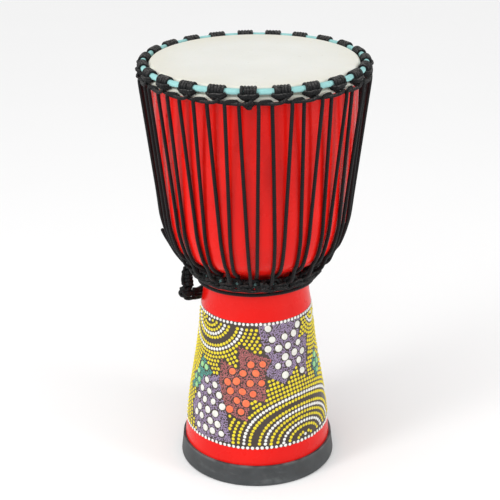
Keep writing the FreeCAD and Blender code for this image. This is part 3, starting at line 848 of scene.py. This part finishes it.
class Dots:
    """Round dabs of thick paint on the side of the shell, all of one colour."""

    placed = {}  # every dab so far by its cell: its place and radius

    def __init__(self):
        self.points, self.faces = [], []

    @classmethod
    def free(cls, place, radius):
        """Whether a dab fits there without touching another."""
        cell = [int(c // CELL) for c in place]
        for near in itertools.product(*((c - 1, c, c + 1) for c in cell)):
            for other, size in cls.placed.get(near, ()):
                if (other - place).length < size + radius:
                    return False
        cls.placed.setdefault(tuple(cell), []).append((place, radius))
        return True

    def add(self, angle, height, radius, rise, sides=10, room=1.0):
        """One dab, unless another lies within that share of its radius, the room."""
        place = polar(SIDE.radius(height), angle, height) / MM
        if not self.free(place, radius * room):
            return False
        start = len(self.points)
        stretch = rng.uniform(0.93, 1.07)
        spin = rng.uniform(0, math.pi)
        rings = LARGE_RINGS if sides > 8 else SMALL_RINGS
        for share, lift in rings:
            for k in range(sides):
                t = 2 * math.pi * k / sides
                x, y = radius * share * stretch * math.cos(t), radius * share / stretch * math.sin(t)
                x, y = x * math.cos(spin) - y * math.sin(spin), x * math.sin(spin) + y * math.cos(spin)
                r, z = SIDE.off(height + y, rise * lift)
                self.points.append(polar(r, angle + math.degrees(x / r), z))
        r, z = SIDE.off(height, rise)
        self.points.append(polar(r, angle, z))
        for ring in range(len(rings) - 1):
            for k in range(sides):
                a, b = start + ring * sides + k, start + ring * sides + (k + 1) % sides
                self.faces.append((a, b, b + sides, a + sides))
        last = start + (len(rings) - 1) * sides
        for k in range(sides):
            self.faces.append((last + k, last + (k + 1) % sides, len(self.points) - 1))
        return True

    def finish(self, name, colour, shade):
        mesh = bpy.data.meshes.new(name)
        mesh.from_pydata(self.points, [], self.faces)
        mesh.update()
        mesh.polygons.foreach_set("use_smooth", [True] * len(mesh.polygons))
        mesh.materials.append(dot_paint(name, colour, shade))
        return new_piece(name, mesh, "drum")


def turned(angle):
    """The angle between -180 and 180 degrees."""
    return (angle + 180.0) % 360.0 - 180.0


def inside(outline, angle, height):
    """Whether a point lies in an outline of (angle, height) corners."""
    middle = sum(a for a, _ in outline) / len(outline)
    x = middle + turned(angle - middle)
    found = False
    for (ax, az), (bx, bz) in zip(outline, outline[1:] + outline[:1]):
        if (az > height) != (bz > height) and x < ax + (bx - ax) * (height - az) / (bz - az):
            found = not found
    return found


class Arches:
    """Concentric arches of dots about a point on the edge of the band."""

    def __init__(self, angle, height, aspect, rows):
        self.angle, self.height, self.aspect, self.rows = angle, height, aspect, rows
        self.last = rows[-1][0]

    def distance(self, angle, height):
        """How far a point is from the arches' middle, with the sideways part squeezed."""
        x = math.radians(turned(angle - self.angle)) * SIDE.radius(height)
        return math.hypot(x / self.aspect, height - self.height)

    def row(self, radius, gap):
        """(angle, height) of points that gap apart along one arch."""
        low, high = BAND
        inward = 1 if self.height < (low + high) / 2 else -1
        edge = math.radians(2.0)
        t = edge
        while t < math.pi - edge:
            height = self.height + inward * radius * math.sin(t)
            if low < height < high:
                across = radius * self.aspect * math.cos(t) / SIDE.radius(height)
                yield self.angle + math.degrees(across), height
            t += gap / radius / math.hypot(self.aspect * math.sin(t), math.cos(t))


# Rows of each set of arches: radius and colour
UPPER_ROWS = [(8, "yellow"), (14, "yellow"), (20.5, "yellow"), (26, "white"), (31.5, "yellow"),
              (42.5, "yellow"), (48, "white")]
LOWER_ROWS = [(10, "yellow"), (20, "yellow"), (27, "white"), (33.5, "yellow"), (40.5, "yellow"),
              (46.5, "white"), (52.5, "yellow"), (62.5, "yellow"), (68.5, "white")]
SMALL_ROWS = [(7, "yellow"), (12.5, "yellow"), (18, "white")]

# Outlines of the stippled patches, as (angle, height) corners
PATCHES = {
    "violet": [
        [(2, 241), (50, 241), (44, 208), (58, 212), (51, 151), (41, 174), (26, 150), (8, 167),
         (15, 188), (6, 203)],
        [(-56.5, 148), (-37, 159), (-26.5, 107), (-21, 63), (-57, 61), (-68, 96)]],
    "maroon": [
        [(-17.5, 208), (14.5, 188), (8, 168), (7.5, 127), (-6, 132), (-7.5, 98), (-25.5, 108),
         (-36, 148), (-35.5, 184), (-16, 173)]],
    "teal": [
        [(-61, 178), (-44.5, 159), (-62, 126), (-77, 117)],
        [(70, 184), (78.5, 150), (67.5, 137), (62, 160)]]}


def shrunk(outline, share):
    """The outline drawn in towards its middle."""
    a = sum(p[0] for p in outline) / len(outline)
    z = sum(p[1] for p in outline) / len(outline)
    return [(a + (x - a) * share, z + (y - z) * share) for x, y in outline]


ROW_GAP = 0.87  # from row to row of a staggered grid, in gaps
GRID_EDGE = 3  # from the band's edge to the nearest point of a grid


def grid(outline, gap, jitter):
    """(angle, height) of a staggered grid of points inside an outline."""
    heights = [z for _, z in outline]
    angles = [a for a, _ in outline]
    rows = int((max(heights) - min(heights)) / (gap * ROW_GAP))
    for row in range(rows + 1):
        height = min(heights) + gap * 0.45 + row * gap * ROW_GAP
        if not BAND[0] + GRID_EDGE < height < BAND[1] - GRID_EDGE:
            continue
        step = math.degrees(gap / SIDE.radius(height))
        angle = min(angles) + (row % 2) * step / 2
        while angle < max(angles):
            a = angle + rng.uniform(-jitter, jitter) * step
            z = height + rng.uniform(-jitter, jitter) * gap
            if inside(outline, a, z):
                yield a, z
            angle += step


DOT, DOT_RISE = 2.4, 0.9  # radius and height of a yellow or white dot
ARCH_GAP, FILL_GAP = 5.5, 5.7  # from dot to dot along an arch, and in the fill
FILL_ROWS = 21  # rows of fill round each set of arches, at most
# The rows at the band's edges: from dot to dot, and radius
TOP_ROW, BOTTOM_ROW = (6.0, 2.25), (6.9, 2.4)
STIPPLE, STIPPLE_RISE, STIPPLE_GAP = 1.16, 0.45, 2.35
REPEATS = (0.0, 180.0)  # the motifs stand at the front and again at the back


def dot_painting():
    """The painted band: two rows, arches, patches of fine dots with large ones, and the fill."""
    white, yellow, cream, orange, pale = Dots(), Dots(), Dots(), Dots(), Dots()
    fine = {name: Dots() for name in PATCHES}
    low, high = BAND
    for height, gap, radius in ((high - 1.6, *TOP_ROW), (low + 1, *BOTTOM_ROW)):
        count = round(2 * math.pi * SIDE.radius(height) / gap)
        for i in range(count):
            white.add(360.0 * i / count, height + rng.uniform(-0.4, 0.4),
                      radius * rng.uniform(0.92, 1.08), DOT_RISE, 12, 0.8)
    arches = []
    for turn in REPEATS:
        arches.append(Arches(-55 + turn, 241, 1.2, UPPER_ROWS))
        arches.append(Arches(42 + turn, 60, 1.40, LOWER_ROWS))
        arches.append(Arches(73 + turn, 241, 1.0, SMALL_ROWS))
    colours = {"yellow": yellow, "white": white}

    def clear(angle, height):
        """How far a point is outside the nearest set of arches."""
        return min(arch.distance(angle, height) - arch.last for arch in arches)

    outlines = [[(a + turn, z) for a, z in outline]
                for turn in REPEATS for group in PATCHES.values() for outline in group]
    for arch in arches:
        white.add(arch.angle, arch.height + (6 if arch.height < 100 else -6), DOT, DOT_RISE, 12)
        for radius, colour in arch.rows:
            for angle, height in arch.row(radius, ARCH_GAP):
                if low + 4 < height < high - 4:
                    size = DOT * rng.uniform(0.92, 1.06)
                    colours[colour].add(angle, height, size, DOT_RISE, 10, 0.8)
    # The large dots of each patch: their colour, gap and radius
    big = {"violet": (cream, 16.2, 5.1), "maroon": (orange, 16.4, 5.3), "teal": (pale, 13.5, 4.4)}
    for turn in REPEATS:
        for name, group in PATCHES.items():
            dots, gap, radius = big[name]
            for outline in group:
                whole = [(a + turn, z) for a, z in outline]
                for angle, height in grid(shrunk(whole, 0.88), gap, 0.12):
                    if clear(angle, height) > radius + 1:
                        dots.add(angle, height, radius * rng.uniform(0.88, 1.08), 1.0, 18, 1.1)
                for angle, height in grid(whole, STIPPLE_GAP, 0.2):
                    if clear(angle, height) > 3:
                        size = STIPPLE * rng.uniform(0.88, 1.1)
                        fine[name].add(angle, height, size, STIPPLE_RISE, 7, 0.8)
    for arch in arches:
        for k in range(1, FILL_ROWS + 1):
            for angle, height in arch.row(arch.last + FILL_GAP * k, FILL_GAP):
                own = arch.distance(angle, height) - arch.last
                if own > clear(angle, height) + 0.5 or not low + 5 < height < high - 5:
                    continue
                if any(inside(shrunk(outline, 1.04), angle, height) for outline in outlines):
                    continue
                yellow.add(angle, height, DOT * rng.uniform(0.9, 1.06), DOT_RISE, 10, 0.86)
    white.finish("dots_white", (0.86, 0.86, 0.83), (0.74, 0.74, 0.71))
    yellow.finish("dots_yellow", (0.84, 0.70, 0.012), (0.66, 0.52, 0.010))
    cream.finish("dots_cream", (0.82, 0.81, 0.76), (0.68, 0.67, 0.60))
    orange.finish("dots_orange", (0.95, 0.20, 0.075), (0.80, 0.13, 0.05))
    pale.finish("dots_pale_green", (0.33, 0.66, 0.28), (0.24, 0.52, 0.22))
    fine["violet"].finish("stipple_violet", (0.36, 0.27, 0.43), (0.25, 0.18, 0.31))
    fine["maroon"].finish("stipple_maroon", (0.46, 0.14, 0.14), (0.31, 0.08, 0.08))
    fine["teal"].finish("stipple_teal", (0.08, 0.36, 0.29), (0.05, 0.26, 0.21))


# ---------------- putting it together

def paint(node, material):
    """Gives a CAD node a better material."""
    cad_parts[node].data.materials.clear()
    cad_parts[node].data.materials.append(material)


def soft_light(name, place, target, size, power):
    """A large oblong light, turned to a target."""
    data = bpy.data.lights.new(name, "AREA")
    data.shape = "RECTANGLE"
    data.size, data.size_y = size
    data.energy = power
    light = new_object(name, data)
    light.location = place
    light.rotation_euler = (Vector(target) - Vector(place)).to_track_quat("-Z", "Y").to_euler()


SKY_LIGHT, SKY_SEEN = 0.60, 0.97  # the sky's brightness as a light, and as it is seen
LEFT_LIGHT, RIGHT_LIGHT = 15.0, 11.0  # watts
SUN_LIGHT, SUN_ANGLE = 1.15, 70  # the light from above, and its width in degrees
FLOOR_HALF = 30.0  # metres


def studio():
    """A pale floor and soft white light from all round."""
    world = bpy.data.worlds.new("studio")
    bpy.context.scene.world = world
    world.use_nodes = True
    tree = world.node_tree
    glow = tree.nodes["Background"]
    glow.inputs["Color"].default_value = (1.0, 1.0, 1.0, 1.0)
    seen = tree.nodes.new("ShaderNodeLightPath")
    level = tree.nodes.new("ShaderNodeMapRange")
    level.inputs["To Min"].default_value = SKY_LIGHT
    level.inputs["To Max"].default_value = SKY_SEEN
    tree.links.new(seen.outputs["Is Camera Ray"], level.inputs["Value"])
    tree.links.new(level.outputs["Result"], glow.inputs["Strength"])
    soft_light("left_box", (-1.5, -1.1, 1.2), (0, 0, 0.35), (0.5, 1.5), LEFT_LIGHT)
    soft_light("right_box", (1.7, -0.9, 1.0), (0, 0, 0.35), (0.5, 1.5), RIGHT_LIGHT)
    data = bpy.data.lights.new("overhead", "SUN")
    data.energy = SUN_LIGHT
    data.angle = math.radians(SUN_ANGLE)
    overhead = new_object("overhead", data)
    overhead.rotation_euler = (math.radians(24), math.radians(-14), 0)
    mesh = bpy.data.meshes.new("floor")
    corners = [(x * FLOOR_HALF, y * FLOOR_HALF, 0) for x, y in ((-1, -1), (1, -1), (1, 1), (-1, 1))]
    mesh.from_pydata(corners, [], [(0, 1, 2, 3)])
    floor = new_object("floor", mesh)
    s = Shader("floor_paper", roughness=0.8)
    s.colour(s.mix(s.noise(3.0, 3.0), (0.97, 0.97, 0.97), (0.955, 0.955, 0.955)))
    mesh.materials.append(s.material)
    bpy.context.scene.view_settings.view_transform = "Standard"


paint("shell", shell_paint())
paint("foot_cover", rubber())
paint("drum_head", skin())
STEEL = steel()
for ring_node in ("flesh_ring", "crown_ring", "bottom_ring"):
    paint(ring_node, STEEL)
cloth_winding("crown_cloth_strip", "crown_ring_cloth", CROWN)
cloth_winding("bottom_cloth_strip", "bottom_ring_cloth", BOTTOM)
crown_hitches()
crown_loops()
bottom_hitches()
bottom_loops()
cord_knots()
lacing()
plain_rope("neck_cord", "neck_rope", NECK_START + NECK_ROUTE)
plain_rope("tie_cord", "hold_tie", TIE_VISIBLE, TIE_SECOND, TIE_THIRD)
tail_route = [(-r, 0.0, z) for r, z in TAIL_ROUTE]
tail = plain_rope("tail_cord", "rope_tail", tail_route)
tail_line = smooth_line([Vector(p) * MM for p in tail_route], 2.0 * MM)
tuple(tail_line[0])
plain_rope("core_cord", "core_rope", [HAND_TOP, HAND_BOTTOM + AXIS * CORE_SHORT])
hand_hold()
hand_knot()
dot_painting()
studio()
